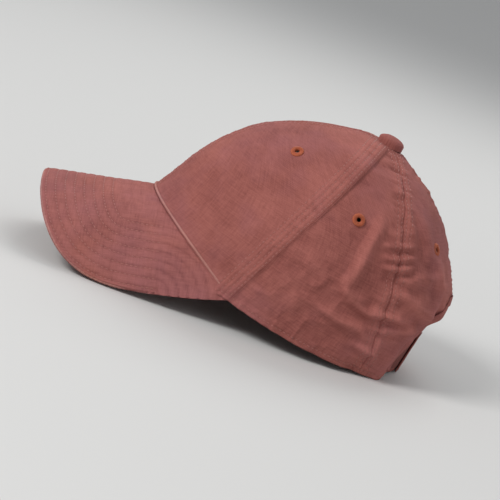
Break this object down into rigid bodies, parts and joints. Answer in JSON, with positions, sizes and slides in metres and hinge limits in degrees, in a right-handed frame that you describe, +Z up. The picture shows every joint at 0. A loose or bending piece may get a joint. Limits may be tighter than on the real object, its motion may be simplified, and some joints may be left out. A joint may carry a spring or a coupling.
{
  "type": "bump cap",
  "caption": "Six-panel fabric bump cap with a curved bill, eyelets, rear strap closure and a vented protective insert with foam pads",
  "frame": {"origin": "on the table under the middle of the cap, which stands on the sides of its bill and on its rear hem", "axes": "+Z up, -Y the way the bill points, +X to the wearer's left"},
  "size_m": [0.1574, 0.2798, 0.1444],
  "materials": {
    "crown_cloth": "washed cotton twill, salmon",
    "bill_cloth": "washed cotton twill, salmon",
    "bill_board": "moulded polyethylene",
    "backing": "stiff woven backing",
    "seam_tape": "cotton tape",
    "eyelet_thread": "stitched thread",
    "button_metal": "pressed steel",
    "sweatband": "cotton over foam",
    "strap_cloth": "washed cotton twill",
    "hook_and_loop": "nylon hook and loop",
    "label": "woven, blank",
    "shell_plastic": "moulded ABS",
    "pad_foam": "closed-cell foam"
  },
  "bodies": {
    "cap": {"arch_binding": "bill_cloth", "bill_board": "bill_board", "bill_piping": "bill_cloth", "bill_top_cover": "bill_cloth", "bill_under_cover": "bill_cloth", "brow_pad": "sweatband", "button_core": "button_metal", "button_cover": "crown_cloth", "button_washer": "button_metal", "care_label": "label", "crown_loop_tab_front_left": "hook_and_loop", "crown_loop_tab_front_right": "hook_and_loop", "crown_loop_tab_rear_left": "hook_and_loop", "crown_loop_tab_rear_right": "hook_and_loop", "eyelets": "eyelet_thread", "front_backing_left": "backing", "front_backing_right": "backing", "front_middle_tape": "seam_tape", "front_panel_left": "crown_cloth", "front_panel_right": "crown_cloth", "front_side_tape_left": "seam_tape", "front_side_tape_right": "seam_tape", "loop_strip": "hook_and_loop", "rear_middle_tape": "seam_tape", "rear_panel_left": "crown_cloth", "rear_panel_right": "crown_cloth", "side_panel_left": "crown_cloth", "side_panel_right": "crown_cloth", "side_rear_tape_left": "seam_tape", "side_rear_tape_right": "seam_tape", "strap_left": "strap_cloth", "sweatband": "sweatband"},
    "strap": {"strap_right": "strap_cloth"},
    "tab": {"strap_tab": "strap_cloth", "hook_strip": "hook_and_loop"},
    "insert": {"insert_hook_tab_front_left": "hook_and_loop", "insert_hook_tab_front_right": "hook_and_loop", "insert_hook_tab_rear_left": "hook_and_loop", "insert_hook_tab_rear_right": "hook_and_loop", "pad_crown": "pad_foam", "pad_front": "pad_foam", "pad_left": "pad_foam", "pad_rear": "pad_foam", "pad_right": "pad_foam", "protective_shell": "shell_plastic", "rim_trim": "pad_foam"}
  },
  "joints": [
    {"name": "strap_adjust", "type": "hinge", "parent": "cap", "child": "strap", "pos_m": [0, 0.06085, 0.02451], "axis": [0, 0.1394, 0.9902], "range_deg": [-10, 8]},
    {"name": "strap_peel", "type": "hinge", "parent": "strap", "child": "tab", "pos_m": [-0.01718, 0.12908, 0.01491], "axis": [0, 0.1394, 0.9902], "range_deg": [0, 110]},
    {"name": "insert_removal", "type": "slide", "parent": "cap", "child": "insert", "axis": [0, -0.1394, -0.9902], "range_m": [0, 0.055]}
  ]
}
